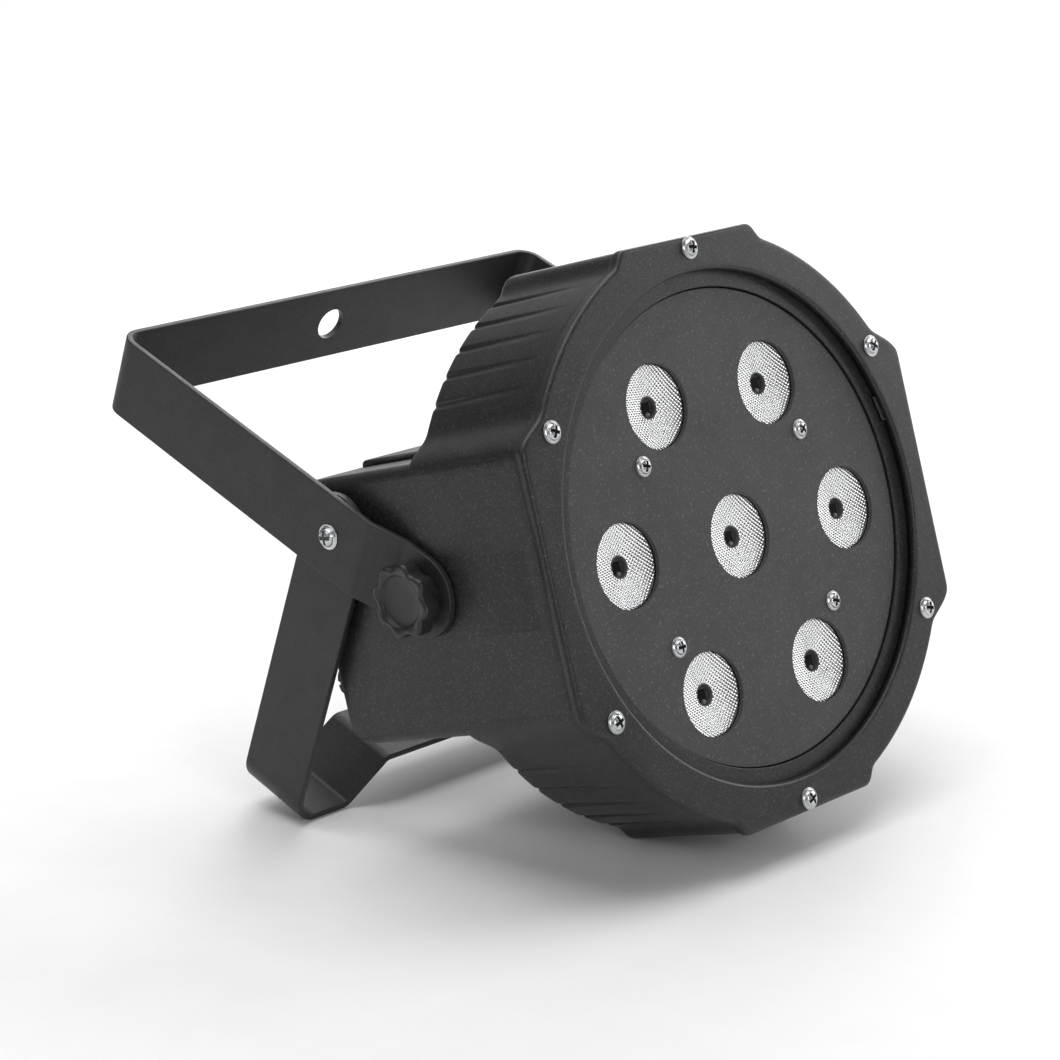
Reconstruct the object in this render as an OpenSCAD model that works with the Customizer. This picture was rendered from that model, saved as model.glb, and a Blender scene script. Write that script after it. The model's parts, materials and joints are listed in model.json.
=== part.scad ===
// Slim seven-lens LED par can with a yoke and a hinged floor bracket.
// Millimetres, +Z up, lens face toward -Y, standing on the floor.
// The head is modelled square to its own axes, then tipped back by the
// module place() so that it rests on its lower rim and on the floor bracket.

/* [Stance] */
// how far the lens face looks up, in degrees
head_tilt = 17; // [0:1:30]
// angle between the yoke arms and the head axis, in degrees
yoke_angle = 36.7; // [0:0.1:60]
// angle between the floor bracket and the yoke arms, in degrees
fold_angle = 90; // [0:1:100]

/* [Head] */
// radius of the round part of the drum outline
drum_r = 86.5; // [70:0.5:110]
// half width across the two flat sides of the bezel
side_flat = 83.8; // [70:0.1:110]
// half height across the top and bottom flats
top_flat = 85.4; // [70:0.1:110]
// depth of the drum behind the lens plate
drum_depth = 45.3; // [30:0.1:70]
// depth of the flat-sided rear box behind the lens plate
box_depth = 91.8; // [60:0.1:120]
// half height of the rear box
box_h = 39.6; // [25:0.1:60]
// half width of the rear box, where the yoke discs sit
box_w = 83.4; // [60:0.1:110]
// wall thickness of the moulded housing
wall = 2.4; // [1.5:0.1:4]
// number of cooling grooves in each quarter of the drum
grooves = 5; // [3:1:9]

/* [Bezel and lenses] */
// radius of the opening in the bezel
lip_r = 75; // [60:0.5:90]
// thickness of the bezel ring
bezel_t = 2.8; // [2:0.1:5]
// radius of the circle of bezel screws
bezel_screw_r = 81.9; // [70:0.1:90]
// radius of the circle of the six outer lenses
lens_circle = 48.4; // [40:0.1:60]
// diameter of each lens hole in the plate
lens_hole = 25; // [18:0.5:40]
// turn of the lens pattern about its centre, in degrees
lens_turn = -1.8; // [-5:0.1:5]
// drop of the lens pattern below the middle of the bezel
lens_drop = 2.7; // [0:0.1:5]

/* [Yoke and floor bracket] */
// width of the steel strip
strip_w = 25; // [20:1:40]
// thickness of the steel strip
strip_t = 2; // [1.5:0.1:4]
// half the overall width across the yoke arms
yoke_half = 89.9; // [85:0.1:110]
// reach of the yoke from the pivot to its cross bar
yoke_reach = 136.6; // [110:0.1:170]
// diameter of the hanging hole in the cross bar
hang_hole = 10.5; // [8:0.5:13]
// distance from the pivot to the floor bracket hinge
hinge_reach = 34.9; // [25:0.1:50]
// height of the raised middle of the floor bracket
foot_rise = 13.3; // [5:0.1:25]

/* [Knobs] */
// outer radius of the clamping knobs
knob_r = 11.1; // [9:0.1:16]
// number of lobes around each knob
knob_lobes = 8; // [5:1:12]

/* [Hidden] */
$fn = 64;
e = 0.05;
piv_y = 46.6;
piv_z = 2.7;
disc_x = 86.1;
foot_half = yoke_half - strip_t - 0.3;
shell_gap = 0.4;
lift = (top_flat - shell_gap) * cos(head_tilt) + drum_depth * sin(head_tilt);
back = 74;
foot_angle = yoke_angle - fold_angle - head_tilt;
hinge_z = lift + (piv_z + hinge_reach * sin(yoke_angle)) * cos(head_tilt)
    - (piv_y + hinge_reach * cos(yoke_angle)) * sin(head_tilt);
foot_reach = (hinge_z - strip_w / 2 * cos(foot_angle)) / sin(-foot_angle);
face_y = -4;
shelf_y = -0.9;
panel_y = box_depth - 2;
board_y = 17.5;
sink_y = 19.1;
panel_w = box_w - wall - 0.3;
panel_h = box_h - wall - 0.3;
inlet = [-58, 14];
fuse = [-72, -21];
fan = [-14, 0];
xlr_a = [28, -20];
xlr_b = [58, -20];
display = [43, 23];
black = [0.09, 0.09, 0.095];
dark = [0.14, 0.14, 0.145];
steel = [0.72, 0.73, 0.75];
alu = [0.62, 0.64, 0.66];
brass = [0.75, 0.62, 0.32];
green = [0.08, 0.3, 0.16];
clear = [0.9, 0.93, 0.96];

// ---------- helpers ----------

// tips the head back and stands it on the floor
module place() {
    translate([0, -back, lift])
        rotate([-head_tilt, 0, 0])
            children();
}

// extrudes an outline drawn in the face plane from depth y0 to depth y1
module slab(y0, y1) {
    translate([0, y1, 0])
        rotate([90, 0, 0])
            linear_extrude(y1 - y0)
                children();
}

// a round bar along the depth axis
module rod(x, z, r, y0, y1) {
    translate([x, y0, z])
        rotate([-90, 0, 0])
            cylinder(h = y1 - y0, r = r);
}

// a six-sided bar along the depth axis
module hexrod(x, z, r, y0, y1) {
    translate([x, y0, z])
        rotate([-90, 0, 0])
            cylinder(h = y1 - y0, r = r, $fn = 6);
}

// a box given by its two opposite corners
module block(a, b) {
    translate(a)
        cube([b[0] - a[0], b[1] - a[1], b[2] - a[2]]);
}

// a rectangle with round corners, half sizes w and h
module soft_rect(w, h, r) {
    square([2 * w, 2 * (h - r)], center = true);
    square([2 * (w - r), 2 * h], center = true);
    for (sx = [-1, 1])
        for (sz = [-1, 1])
            translate([sx * (w - r), sz * (h - r)])
                circle(r = r);
}

// places children on the lens pattern's own centre and turn
module lens_frame() {
    translate([-0.3, 0, -lens_drop])
        rotate([0, -lens_turn, 0])
            children();
}

// places children at one of the seven lenses, 0 is the middle
module at_lens(i) {
    lens_frame()
        translate([i == 0 ? 0 : lens_circle * cos(60 * i), 0, i == 0 ? 0 : lens_circle * sin(60 * i)])
            children();
}

// places children at the four screws that hold the lens plate
module at_plate_screw() {
    lens_frame()
        for (sx = [-1, 1])
            for (sz = [-1, 1])
                translate([sx * 34.7, 0, sz * 26.1])
                    children();
}

// places children at the six bezel screws
module at_bezel_screw() {
    for (a = [30 : 60 : 330])
        translate([bezel_screw_r * cos(a), 0, bezel_screw_r * sin(a)])
            children();
}

// the places of the screws in the rear panel
module at_panel_screw() {
    for (sz = [-1, 1]) {
        for (x = [-76.3, 76.3])
            translate([x, 0, sz * 32.8])
                children();
        translate([8, 0, sz * 33.2])
            children();
    }
}

// yoke frame: +Y along the arms, +Z across the strip
module at_pivot() {
    translate([0, piv_y, piv_z])
        rotate([yoke_angle, 0, 0])
            children();
}

// floor bracket frame: +Y away from the hinge
module at_hinge() {
    at_pivot()
        translate([0, hinge_reach, 0])
            rotate([-fold_angle, 0, 0])
                children();
}

// outline of the drum, smaller by the amount g
module outline(g = 0) {
    intersection() {
        circle(r = drum_r - g, $fn = 128);
        square([2 * (side_flat - g), 2 * (top_flat - g)], center = true);
    }
    polygon([[-31.4 + g, 0], [-31.4 + g, 80.6 - g], [-28.6 + g, top_flat - g],
        [28.6 - g, top_flat - g], [31.4 - g, 80.6 - g], [31.4 - g, 0],
        [31.4 - g, -80.6 + g], [28.6 - g, -top_flat + g],
        [-28.6 + g, -top_flat + g], [-31.4 + g, -80.6 + g]]);
    polygon([[-73.5 + g, -45.6 + g], [-80.8 + g, -41.1 + g], [-side_flat + g, -38.2 + g],
        [-side_flat + g, 38.2 - g], [-80.8 + g, 41.1 - g], [-73.5 + g, 45.6 - g],
        [73.5 - g, 45.6 - g], [80.8 - g, 41.1 - g], [side_flat - g, 38.2 - g],
        [side_flat - g, -38.2 + g], [80.8 - g, -41.1 + g], [73.5 - g, -45.6 + g]]);
}

// a pan-head screw pointing into the head, its seat at depth y
module pan_screw(y, head_r, head_h, shank_r, len) {
    difference() {
        union() {
            rod(0, 0, head_r, y - head_h * 0.35, y);
            rod(0, 0, head_r * 0.82, y - head_h * 0.75, y);
            rod(0, 0, head_r * 0.6, y - head_h, y);
            rod(0, 0, shank_r, y - e, y + len);
        }
        for (a = [20, 110])
            rotate([0, a, 0])
                translate([-head_r * 0.42, y - head_h - 1, -head_r * 0.11])
                    cube([head_r * 0.84, 1 + head_h * 0.62, head_r * 0.22]);
    }
}

// ---------- head ----------

module housing_solid() {
    slab(shelf_y, drum_depth)
        outline(shell_gap);
    intersection() {
        slab(5, box_depth)
            soft_rect(box_w, box_h, 3.5);
        translate([-100, box_depth / 2, 0])
            rotate([90, 0, 90])
                linear_extrude(200)
                    soft_rect(box_depth / 2, box_h, 4);
    }
    block([-60, drum_depth - 4, -box_h + 2], [60, box_depth - 3.5, box_h + 1.9]);
}

module housing() {
    color(black)
    place()
    difference() {
        union() {
            difference() {
                housing_solid();
                slab(shelf_y + 2.3, drum_depth - wall)
                    outline(shell_gap + wall);
                slab(20, box_depth + 1)
                    square([2 * (box_w - wall), 2 * (box_h - wall)], center = true);
            }
            for (s = [-1, 1])
                translate([s * (box_w - wall + e), piv_y, piv_z])
                    rotate([0, -90 * s, 0])
                        cylinder(h = 10, r = 8);
            intersection() {
                at_bezel_screw()
                    rod(0, 0, 3.2, 0, 11);
                slab(shelf_y, drum_depth)
                    outline(1);
            }
            intersection() {
                at_panel_screw()
                    rod(0, 0, 4.2, panel_y - 12, panel_y);
                slab(40, panel_y)
                    square([2 * (box_w - 1), 2 * (box_h - 1)], center = true);
            }
        }
        // opening for the lens plate
        rod(0, 0, 70.2, shelf_y - 1, shelf_y + 4);
        // screw holes
        at_bezel_screw()
            rod(0, 0, 1.5, shelf_y - 1, 9.5);
        at_panel_screw()
            rod(0, 0, 1.5, panel_y - 10, panel_y + 1);
        // seats of the two pivot inserts
        for (s = [-1, 1])
            translate([s * (box_w + 1), piv_y, piv_z])
                rotate([0, -90 * s, 0])
                    cylinder(h = 14, r = 4.5);
        // cooling grooves, deep at the rear and running out toward the bezel
        for (sx = [0, 1])
            mirror([sx, 0, 0])
                for (sz = [-1, 1])
                    for (i = [0 : grooves - 1])
                        rotate([0, sz * (52 + (i - (grooves - 1) / 2) * 6.5), 0])
                            translate([drum_r - shell_gap, drum_depth + 1, 0])
                                rotate([0, 0, 1.6])
                                    rotate([0, 45, 0])
                                        translate([-0.85, -41, -0.85])
                                            cube([1.7, 42, 1.7]);
        // air slots under and over the rear box
        for (sz = [-1, 1])
            for (i = [-3 : 3])
                translate([i * 12 - 2, 56, sz > 0 ? box_h - wall - 1 : -box_h - 3])
                    cube([4, 26, wall + 4]);
    }
}

module rear_panel() {
    color(dark)
    place()
    difference() {
        slab(panel_y, box_depth)
            soft_rect(panel_w, panel_h, 2);
        at_panel_screw()
            rod(0, 0, 1.8, panel_y - 1, box_depth + 1);
        // fan grille made of ring slots broken by spokes
        translate([fan[0], 0, fan[1]])
            difference() {
                for (r = [5 : 4 : 21])
                    slab(panel_y - 1, box_depth + 1)
                        difference() {
                            circle(r = r + 2.6);
                            circle(r = r);
                        }
                for (a = [45 : 90 : 315])
                    rotate([0, a, 0])
                        block([2, panel_y - 2, -1.3], [26, box_depth + 2, 1.3]);
            }
        translate([fan[0], 0, fan[1]])
            for (sx = [-1, 1])
                for (sz = [-1, 1])
                    rod(sx * 20, sz * 20, 1.8, panel_y - 1, box_depth + 1);
        block([inlet[0] - 13.9, panel_y - 1, inlet[1] - 10.3], [inlet[0] + 13.9, box_depth + 1, inlet[1] + 10.3]);
        rod(fuse[0], fuse[1], 6.1, panel_y - 1, box_depth + 1);
        for (c = [xlr_a, xlr_b])
            rod(c[0], c[1], 12, panel_y - 1, box_depth + 1);
        block([xlr_b[0] - 5, panel_y - 1, xlr_b[1] + 8], [xlr_b[0] + 5, box_depth + 1, xlr_b[1] + 14.6]);
        block([display[0] - 20, panel_y - 1, display[1] - 8], [display[0] + 20, box_depth + 1, display[1] + 8]);
        for (i = [0 : 3])
            rod(display[0] - 15 + 10 * i, 6, 3.35, panel_y - 1, box_depth + 1);
    }
}

module rear_panel_screws() {
    color(steel)
    place()
    at_panel_screw()
        translate([0, 2 * box_depth, 0])
            rotate([0, 0, 180])
                pan_screw(box_depth, 2.8, 1.7, 1.5, 9);
}

module front_bezel() {
    color(black)
    place()
    difference() {
        union() {
            slab(face_y + 0.6, face_y + bezel_t)
                outline(0);
            slab(face_y, face_y + 0.7)
                outline(0.6);
            // small moulded catch behind the right side of the lip
            rotate([0, -17, 0])
                block([lip_r - 1.2, face_y + 1.6, -4.5], [lip_r + 2, face_y + bezel_t, 4.5]);
        }
        difference() {
            rod(0, 0, lip_r, face_y - 1, 1);
            rotate([0, -17, 0])
                block([lip_r - 1.2, face_y + 1.6, -4.5], [lip_r + 2, face_y + bezel_t, 4.5]);
        }
        at_bezel_screw()
            rod(0, 0, 1.8, face_y - 1, 1);
    }
}

module bezel_screws() {
    color(steel)
    place()
    at_bezel_screw()
        pan_screw(face_y, 3.3, 2, 1.5, 12);
}

module lens_plate() {
    color(dark)
    place()
    difference() {
        rod(0, 0, 69.9, 0, 1.5);
        for (i = [0 : 6])
            at_lens(i)
                rod(0, 0, lens_hole / 2, -1, 3);
        at_plate_screw()
            rod(0, 0, 1.9, -1, 3);
    }
}

module plate_screws() {
    color(steel)
    place()
    at_plate_screw()
        pan_screw(0, 3, 1.9, 1.45, 8);
}

module plate_standoffs() {
    color(brass)
    place()
    at_plate_screw()
        difference() {
            hexrod(0, 0, 3.1, 1.5, board_y);
            rod(0, 0, 1.45, 1, 12);
        }
}

// one collimating lens, flat in front with a socket for its emitter behind
module lens(i) {
    color(clear)
    place()
    at_lens(i)
        rotate([-90, 0, 0])
            rotate_extrude()
                polygon([[0, 1.7], [13.2, 1.7], [13.2, 3.3], [12.4, 3.3], [10.9, 7], [8.9, 10.6],
                    [6.6, 13.8], [4.9, 15.9], [3.5, 15.9], [3.5, 12.9], [0, 12.9]]);
}

module lens_1() { lens(0); }

module lens_2() { lens(1); }

module lens_3() { lens(2); }

module lens_4() { lens(3); }

module lens_5() { lens(4); }

module lens_6() { lens(5); }

module lens_7() { lens(6); }

module lens_tray() {
    color(black)
    place()
    difference() {
        union() {
            translate([-0.3, 0, -lens_drop])
                rod(0, 0, 65, 8.6, 10.6);
            for (i = [0 : 6])
                at_lens(i)
                    rod(0, 0, 11.6, 8.6, board_y);
        }
        for (i = [0 : 6])
            at_lens(i) {
                rod(0, 0, 10.2, 8, 10.7);
                rod(0, 0, 9.1, 10.6, board_y + 1);
            }
        at_plate_screw()
            rod(0, 0, 3.6, 8, 11);
    }
}

module led_board() {
    color([0.85, 0.86, 0.87])
    place()
    difference() {
        translate([-0.3, 0, -lens_drop])
            rod(0, 0, 66, board_y, sink_y);
        at_plate_screw()
            rod(0, 0, 1.3, board_y - 1, sink_y + 1);
        lens_frame()
            for (a = [30 : 60 : 330])
                rod(58 * cos(a), 58 * sin(a), 1.7, board_y - 1, sink_y + 1);
    }
}

module led_emitters() {
    color([0.92, 0.9, 0.75])
    place()
    for (i = [0 : 6])
        at_lens(i) {
            block([-2.25, board_y - 1.2, -2.25], [2.25, board_y, 2.25]);
            rod(0, 0, 1.7, board_y - 2.1, board_y - 1.1);
        }
}

module heatsink() {
    color(alu)
    place()
    difference() {
        union() {
            translate([-0.3, 0, -lens_drop])
                rod(0, 0, 66, sink_y, sink_y + 3);
            intersection() {
                translate([-0.3, 0, -lens_drop])
                    rod(0, 0, 65, sink_y, 40);
                for (i = [-8 : 8])
                    block([i * 7.2 - 0.8, sink_y + 2, -70], [i * 7.2 + 0.8, 40, 70]);
            }
        }
        lens_frame()
            for (a = [30 : 60 : 330])
                rod(58 * cos(a), 58 * sin(a), 1.5, sink_y - 1, sink_y + 4);
    }
}

module heatsink_screws() {
    color(steel)
    place()
    lens_frame()
        for (a = [30 : 60 : 330])
            translate([58 * cos(a), 0, 58 * sin(a)])
                pan_screw(board_y, 2.8, 1.7, 1.5, 4.5);
}

// ---------- rear box contents ----------

module fan_frame() {
    color(black)
    place()
    translate([fan[0], 0, fan[1]]) {
        difference() {
            slab(panel_y - 15, panel_y)
                soft_rect(25, 25, 3);
            rod(0, 0, 23.4, panel_y - 12.5, panel_y + 1);
            slab(panel_y - 16, panel_y - 12)
                difference() {
                    circle(r = 23.4);
                    circle(r = 10.5);
                    for (a = [20 : 120 : 260])
                        rotate(a)
                            translate([0, -1.6])
                                square([30, 3.2]);
                }
            for (sx = [-1, 1])
                for (sz = [-1, 1])
                    rod(sx * 20, sz * 20, 1.5, panel_y - 16, panel_y + 1);
        }
        rod(0, 0, 1.5, panel_y - 13, panel_y - 4);
    }
}

module fan_rotor() {
    color(dark)
    place()
    translate([fan[0], 0, fan[1]])
        difference() {
            union() {
                rod(0, 0, 10.5, panel_y - 11.6, panel_y - 1.2);
                for (a = [0 : 360 / 7 : 359])
                    rotate([0, a, 0])
                        translate([9.5, panel_y - 6.4, 0])
                            rotate([35, 0, 0])
                                translate([0, -0.6, -6])
                                    cube([12.3, 1.2, 12]);
            }
            rod(0, 0, 1.56, panel_y - 12, panel_y - 3);
        }
}

module fan_screws() {
    color(steel)
    place()
    translate([fan[0], 0, fan[1]])
        for (sx = [-1, 1])
            for (sz = [-1, 1])
                translate([sx * 20, 2 * box_depth, sz * 20])
                    rotate([0, 0, 180])
                        pan_screw(box_depth, 2.9, 1.8, 1.5, 12);
}

module psu_board() {
    color(green)
    place()
    block([-62, 45, -32], [-6, 72, -30.4]);
}

module psu_transformer() {
    color([0.75, 0.62, 0.2])
    place() {
        block([-58, 48, -30.4], [-36, 68, -12]);
        block([-60, 50, -26], [-34, 66, -16]);
    }
}

module psu_capacitors() {
    color([0.1, 0.12, 0.2])
    place() {
        translate([-27, 54, -30.4])
            cylinder(h = 24, r = 6.5);
        translate([-13, 52, -30.4])
            cylinder(h = 18, r = 5);
        translate([-13, 66, -30.4])
            cylinder(h = 14, r = 4);
    }
}

module psu_choke() {
    color([0.5, 0.25, 0.08])
    place()
    translate([-27, 66.5, -27.4])
        difference() {
            cylinder(h = 6, r = 5.2, center = true);
            cylinder(h = 8, r = 2.2, center = true);
        }
}

module control_board() {
    color(green)
    place() {
        block([16, 79.6, -1], [72, 81.2, 35]);
        for (i = [0 : 3])
            block([display[0] - 18 + 10 * i, 81.1, 3], [display[0] - 12 + 10 * i, 84.7, 9]);
        block([20, 76.2, 14], [30, 79.7, 24]);
        block([44, 77.6, 6], [54, 79.7, 16]);
    }
}

module display_module() {
    color([0.2, 0.2, 0.2])
    place()
    block([display[0] - 18.5, 81.2, display[1] - 7], [display[0] + 18.5, 88.9, display[1] + 7]);
}

module display_window() {
    color([0.35, 0.03, 0.03])
    place()
    block([display[0] - 20, panel_y, display[1] - 8], [display[0] + 20, box_depth - 0.3, display[1] + 8]);
}

// one push button cap
module button(i) {
    color([0.25, 0.25, 0.26])
    place() {
        rod(display[0] - 15 + 10 * i, 6, 3, 87.4, box_depth + 1.8);
        rod(display[0] - 15 + 10 * i, 6, 3.9, 86.2, 87.6);
    }
}

module button_1() { button(0); }

module button_2() { button(1); }

module button_3() { button(2); }

module button_4() { button(3); }

// plate, barrel and rim shared by both signal sockets
module socket_shell(c) {
    slab(box_depth, box_depth + 1.6)
        translate(c)
            soft_rect(13, 15.5, 2);
    rod(c[0], c[1], 11.9, box_depth - 20, box_depth + 0.1);
    rod(c[0], c[1], 12.4, box_depth + 1.5, box_depth + 2.6);
}

module dmx_in_socket() {
    color(dark)
    place()
    difference() {
        socket_shell(xlr_a);
        rod(xlr_a[0], xlr_a[1], 9.4, box_depth - 13, box_depth + 4);
        for (a = [90 : 120 : 330])
            rod(xlr_a[0] + 4.2 * cos(a), xlr_a[1] + 4.2 * sin(a), 1.2, box_depth - 22, box_depth - 12);
    }
}

module dmx_in_pins() {
    color(brass)
    place()
    for (a = [90 : 120 : 330])
        rod(xlr_a[0] + 4.2 * cos(a), xlr_a[1] + 4.2 * sin(a), 1.2, box_depth - 24, box_depth - 4);
}

module dmx_out_socket() {
    color(dark)
    place()
    difference() {
        socket_shell(xlr_b);
        difference() {
            rod(xlr_b[0], xlr_b[1], 9.9, box_depth - 11, box_depth + 4);
            rod(xlr_b[0], xlr_b[1], 7.6, box_depth - 12, box_depth + 1);
        }
        for (a = [90 : 120 : 330])
            rod(xlr_b[0] + 4.2 * cos(a), xlr_b[1] + 4.2 * sin(a), 1.4, box_depth - 12, box_depth + 4);
        block([xlr_b[0] - 4.3, box_depth - 8, xlr_b[1] + 10.1], [xlr_b[0] + 4.3, box_depth + 4, xlr_b[1] + 14.1]);
    }
}

module dmx_out_latch() {
    color(steel)
    place()
    block([xlr_b[0] - 3.9, box_depth - 4.5, xlr_b[1] + 10.5], [xlr_b[0] + 3.9, box_depth + 3.6, xlr_b[1] + 13.7]);
}

module power_inlet() {
    color(black)
    place()
    difference() {
        union() {
            slab(box_depth, box_depth + 1.8)
                translate(inlet)
                    soft_rect(15.5, 12, 2);
            slab(box_depth - 22, box_depth + 0.1)
                translate(inlet)
                    soft_rect(13.8, 10.2, 1.5);
        }
        slab(box_depth - 16, box_depth + 3)
            translate(inlet)
                polygon([[-12, -8], [12, -8], [12, 4], [8, 8], [-8, 8], [-12, 4]]);
        for (p = [[-7, -2], [0, 2.5], [7, -2]])
            block([inlet[0] + p[0] - 1, box_depth - 24, inlet[1] + p[1] - 2],
                [inlet[0] + p[0] + 1, box_depth - 15, inlet[1] + p[1] + 2]);
    }
}

module inlet_pins() {
    color(steel)
    place()
    for (p = [[-7, -2], [0, 2.5], [7, -2]])
        block([inlet[0] + p[0] - 1, box_depth - 27, inlet[1] + p[1] - 2],
            [inlet[0] + p[0] + 1, box_depth - 6, inlet[1] + p[1] + 2]);
}

module fuse_holder() {
    color(black)
    place()
    translate([fuse[0], 0, fuse[1]])
        difference() {
            union() {
                rod(0, 0, 7.6, box_depth, box_depth + 1.5);
                rod(0, 0, 6, box_depth - 26, box_depth + 0.1);
            }
            rod(0, 0, 4.4, box_depth - 24, box_depth + 2);
        }
}

module fuse_cap() {
    color(black)
    place()
    translate([fuse[0], 0, fuse[1]])
        difference() {
            union() {
                rod(0, 0, 6.6, box_depth + 1.9, box_depth + 6.2);
                rod(0, 0, 5.9, box_depth + 6.1, box_depth + 7);
                rod(0, 0, 3.9, box_depth - 4, box_depth + 2);
            }
            block([-7, box_depth + 5.8, -0.6], [7, box_depth + 8, 0.6]);
            rod(0, 0, 2.9, box_depth - 5, box_depth);
            for (a = [0 : 30 : 330])
                rod(6.9 * cos(a), 6.9 * sin(a), 0.7, box_depth + 2.6, box_depth + 8);
        }
}

module fuse_link() {
    color(steel)
    place()
    rod(fuse[0], fuse[1], 2.5, box_depth - 23, box_depth - 3.4);
}

// ---------- pivots, yoke and floor bracket ----------

// repeats children on both sides of the head
module both_sides() {
    children();
    mirror([1, 0, 0])
        children();
}

module pivot_inserts() {
    color(brass)
    place()
    both_sides()
        translate([-box_w, piv_y, piv_z])
            rotate([0, 90, 0])
                difference() {
                    cylinder(h = 12, r = 4.5);
                    translate([0, 0, -1])
                        cylinder(h = 14, r = 2.55);
                }
}

module pivot_washers() {
    color([0.2, 0.2, 0.2])
    place()
    both_sides()
        translate([-box_w - 0.4, piv_y, piv_z])
            rotate([0, 90, 0])
                difference() {
                    cylinder(h = 0.4, r = 11);
                    translate([0, 0, -1])
                        cylinder(h = 3, r = 4);
                }
}

// a quarter bend of strip, outer radius r, corner toward -X and +Y
module bend(r) {
    difference() {
        intersection() {
            circle(r = r);
            translate([-r, 0])
                square([r, r]);
        }
        circle(r = r - strip_t);
    }
}

// turns a strip profile drawn in X and reach into a strip
module strip() {
    translate([0, 0, -strip_w / 2])
        linear_extrude(strip_w)
            children();
}

module main_yoke() {
    color(black)
    place()
    at_pivot()
    difference() {
        union() {
            both_sides() {
                strip()
                    polygon([[-yoke_half, yoke_reach - 7], [-yoke_half, 21.7], [-disc_x, 9.7], [-disc_x, 0],
                        [-disc_x + strip_t, 0], [-disc_x + strip_t, 10], [-yoke_half + strip_t, 22],
                        [-yoke_half + strip_t, yoke_reach - 7]]);
                strip()
                    translate([-yoke_half + 7, yoke_reach - 7])
                        bend(7);
                translate([-disc_x, 0, 0])
                    rotate([0, 90, 0])
                        cylinder(h = strip_t, r = strip_w / 2);
            }
            strip()
                translate([-yoke_half + 7, yoke_reach - strip_t])
                    square([2 * (yoke_half - 7), strip_t]);
        }
        translate([-100, 0, 0])
            rotate([0, 90, 0])
                cylinder(h = 200, r = 2.9);
        translate([-100, hinge_reach, 0])
            rotate([0, 90, 0])
                cylinder(h = 200, r = 2.1);
        rod(0, 0, hang_hole / 2, yoke_reach - 5, yoke_reach + 5);
    }
}

module foot_bracket() {
    color(black)
    place()
    at_hinge()
    difference() {
        union() {
            both_sides() {
                strip()
                    translate([-foot_half, 0])
                        square([strip_t, foot_reach - 9]);
                strip()
                    translate([-foot_half + 9, foot_reach - 9])
                        bend(9);
                translate([-foot_half, 0, 0])
                    rotate([0, 90, 0])
                        cylinder(h = strip_t, r = strip_w / 2);
            }
            strip()
                polygon([[-foot_half + 9, foot_reach], [-65.3, foot_reach],
                    [-65.3 + foot_rise, foot_reach - foot_rise], [65.3 - foot_rise, foot_reach - foot_rise],
                    [65.3, foot_reach], [foot_half - 9, foot_reach],
                    [foot_half - 9, foot_reach - strip_t], [66.1, foot_reach - strip_t],
                    [66.1 - foot_rise, foot_reach - foot_rise - strip_t],
                    [-66.1 + foot_rise, foot_reach - foot_rise - strip_t],
                    [-66.1, foot_reach - strip_t], [-foot_half + 9, foot_reach - strip_t]]);
        }
        translate([-100, 0, 0])
            rotate([0, 90, 0])
                cylinder(h = 200, r = 2.06);
    }
}

module hinge_screws() {
    color(steel)
    place()
    both_sides()
        at_pivot()
            translate([-yoke_half, hinge_reach, 0])
                rotate([0, 0, -90])
                    pan_screw(0, 3.8, 2.4, 2, 5.2);
}

module hinge_nuts() {
    color(steel)
    place()
    both_sides()
        at_hinge()
            translate([-foot_half + strip_t, 0, 0])
                rotate([0, 90, 0])
                    difference() {
                        cylinder(h = 1.1, r = 4.2, $fn = 6);
                        translate([0, 0, -1])
                            cylinder(h = 4, r = 2.06);
                    }
}

// a lobed knob on the left side, dished in front
module knob() {
    translate([-disc_x, piv_y, piv_z])
        rotate([0, -90, 0])
            difference() {
                union() {
                    translate([0, 0, 1.2])
                        cylinder(h = 2, r = 7);
                    translate([0, 0, 2.4])
                        linear_extrude(5.6)
                            difference() {
                                union() {
                                    circle(r = knob_r - 2);
                                    for (i = [0 : knob_lobes - 1])
                                        rotate(360 / knob_lobes * i + 21)
                                            translate([knob_r - 2.9, 0])
                                                circle(r = 2.9, $fn = 32);
                                }
                                for (i = [0 : knob_lobes - 1])
                                    rotate(360 / knob_lobes * (i + 0.5) + 21)
                                        translate([knob_r + 0.6, 0])
                                            circle(r = 2.3, $fn = 32);
                            }
                }
                translate([0, 0, 6.8])
                    cylinder(h = 2, r = knob_r - 3.4);
                translate([0, 0, -1])
                    cylinder(h = 6.5, r = 2.5);
            }
}

module knob_left() {
    color(black)
    place()
    knob();
}

module knob_right() {
    color(black)
    place()
    mirror([1, 0, 0])
        knob();
}

// the threaded stud moulded into a knob
module stud() {
    translate([-disc_x, piv_y, piv_z])
        rotate([0, 90, 0])
            translate([0, 0, -5.5])
                cylinder(h = 19, r = 2.5);
}

module knob_stud_left() {
    color(steel)
    place()
    stud();
}

module knob_stud_right() {
    color(steel)
    place()
    mirror([1, 0, 0])
        stud();
}

module knob_washers() {
    color(steel)
    place()
    both_sides()
        translate([-disc_x - 0.8, piv_y, piv_z])
            rotate([0, 90, 0])
                difference() {
                    cylinder(h = 0.8, r = 6.5);
                    translate([0, 0, -1])
                        cylinder(h = 3, r = 2.9);
                }
}

// ---------- assembly ----------

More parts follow.
